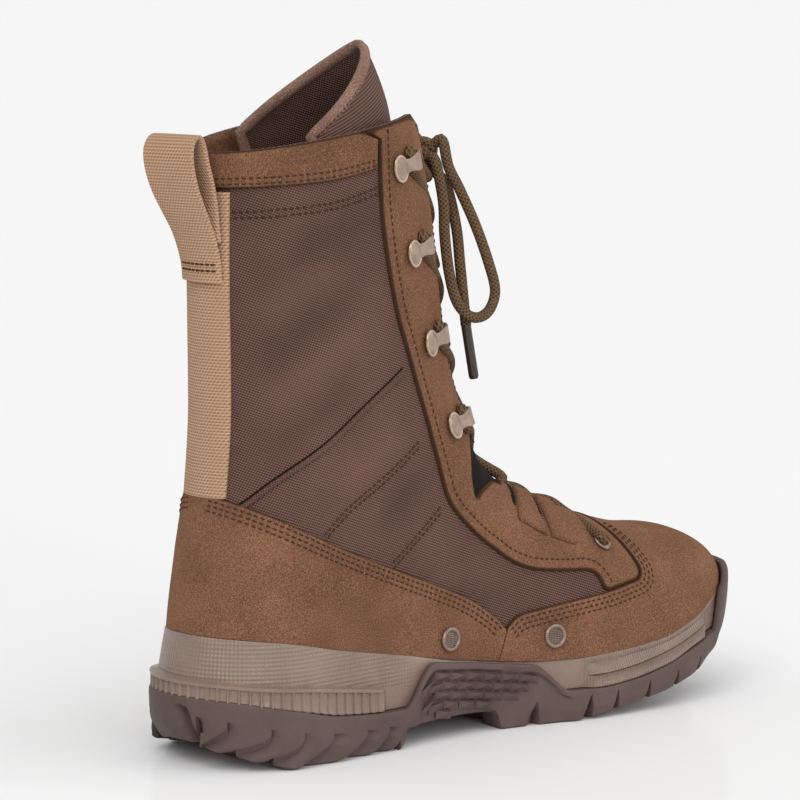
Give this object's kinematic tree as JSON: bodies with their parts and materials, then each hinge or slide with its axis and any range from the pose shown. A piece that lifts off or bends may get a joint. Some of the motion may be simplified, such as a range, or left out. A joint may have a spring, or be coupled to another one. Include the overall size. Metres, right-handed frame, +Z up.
{
  "type": "tactical boot",
  "caption": "Tall lace-up tactical boot for the left foot, in suede and nylon on a lugged sole, with speed hooks, vents and a heel pull loop.",
  "frame": {"origin": "middle of the boot's box, on the floor plane, measured without the lace's bow", "axes": "+X to the toe, +Y to the outer side of the foot, +Z up"},
  "size_m": [0.3002, 0.1095, 0.2875],
  "materials": {
    "suede": "napped suede",
    "nylon": "twill weave",
    "webbing": "ribbed webbing",
    "rubber": "matt moulded",
    "midsole": "satin moulded",
    "metal": "satin paint",
    "lace": "round braid",
    "lining": "plain",
    "aglet": "gloss"
  },
  "bodies": {
    "root": {"aglet_lateral": "aglet", "aglet_medial": "aglet", "backstay_tape": "webbing", "collar_cuff": "suede", "eyelet_lateral": "metal", "eyelet_medial": "metal", "eyestay_lateral": "suede", "eyestay_medial": "suede", "heel_counter": "suede", "hook_1_lateral": "metal", "hook_1_medial": "metal", "hook_2_lateral": "metal", "hook_2_medial": "metal", "hook_3_lateral": "metal", "hook_3_medial": "metal", "hook_4_lateral": "metal", "hook_4_medial": "metal", "insole": "lining", "lace_crossings": "lace", "lace_end_lateral": "lace", "lace_end_medial": "lace", "lace_knot": "lace", "lace_loop_lateral": "lace", "lace_loop_medial": "lace", "lace_strip_lower_lateral": "suede", "lace_strip_lower_medial": "suede", "lace_strip_upper_lateral": "suede", "lace_strip_upper_medial": "suede", "midsole": "midsole", "outsole": "rubber", "pull_loop": "webbing", "tongue": "nylon", "upper": "nylon", "vamp": "suede", "vent_1": "metal", "vent_2": "metal"}
  },
  "joints": []
}
